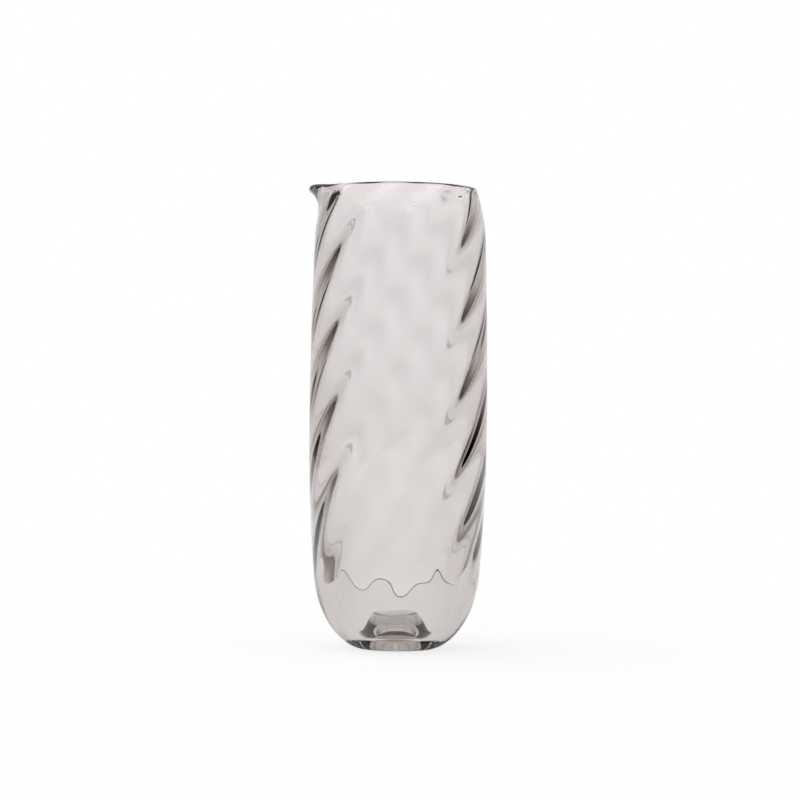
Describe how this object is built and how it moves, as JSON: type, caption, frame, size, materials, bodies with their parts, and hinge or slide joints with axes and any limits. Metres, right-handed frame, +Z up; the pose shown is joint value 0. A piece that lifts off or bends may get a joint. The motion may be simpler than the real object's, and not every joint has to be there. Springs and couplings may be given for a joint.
{
  "type": "glass carafe",
  "caption": "Tall one-piece blown glass carafe in pale smoke grey, with twisted optic ribs, a heavy rounded base with a pushed-up floor, and a small pulled pouring lip.",
  "frame": {"origin": "centre of the flat foot, on the resting plane and on the vessel's axis", "axes": "+Z up along the vessel's axis; the pouring lip points along -X"},
  "size_m": [0.0945, 0.0936, 0.241],
  "materials": {
    "smoke_glass": "polished"
  },
  "bodies": {
    "root": {"glass_carafe": "smoke_glass"}
  },
  "joints": []
}
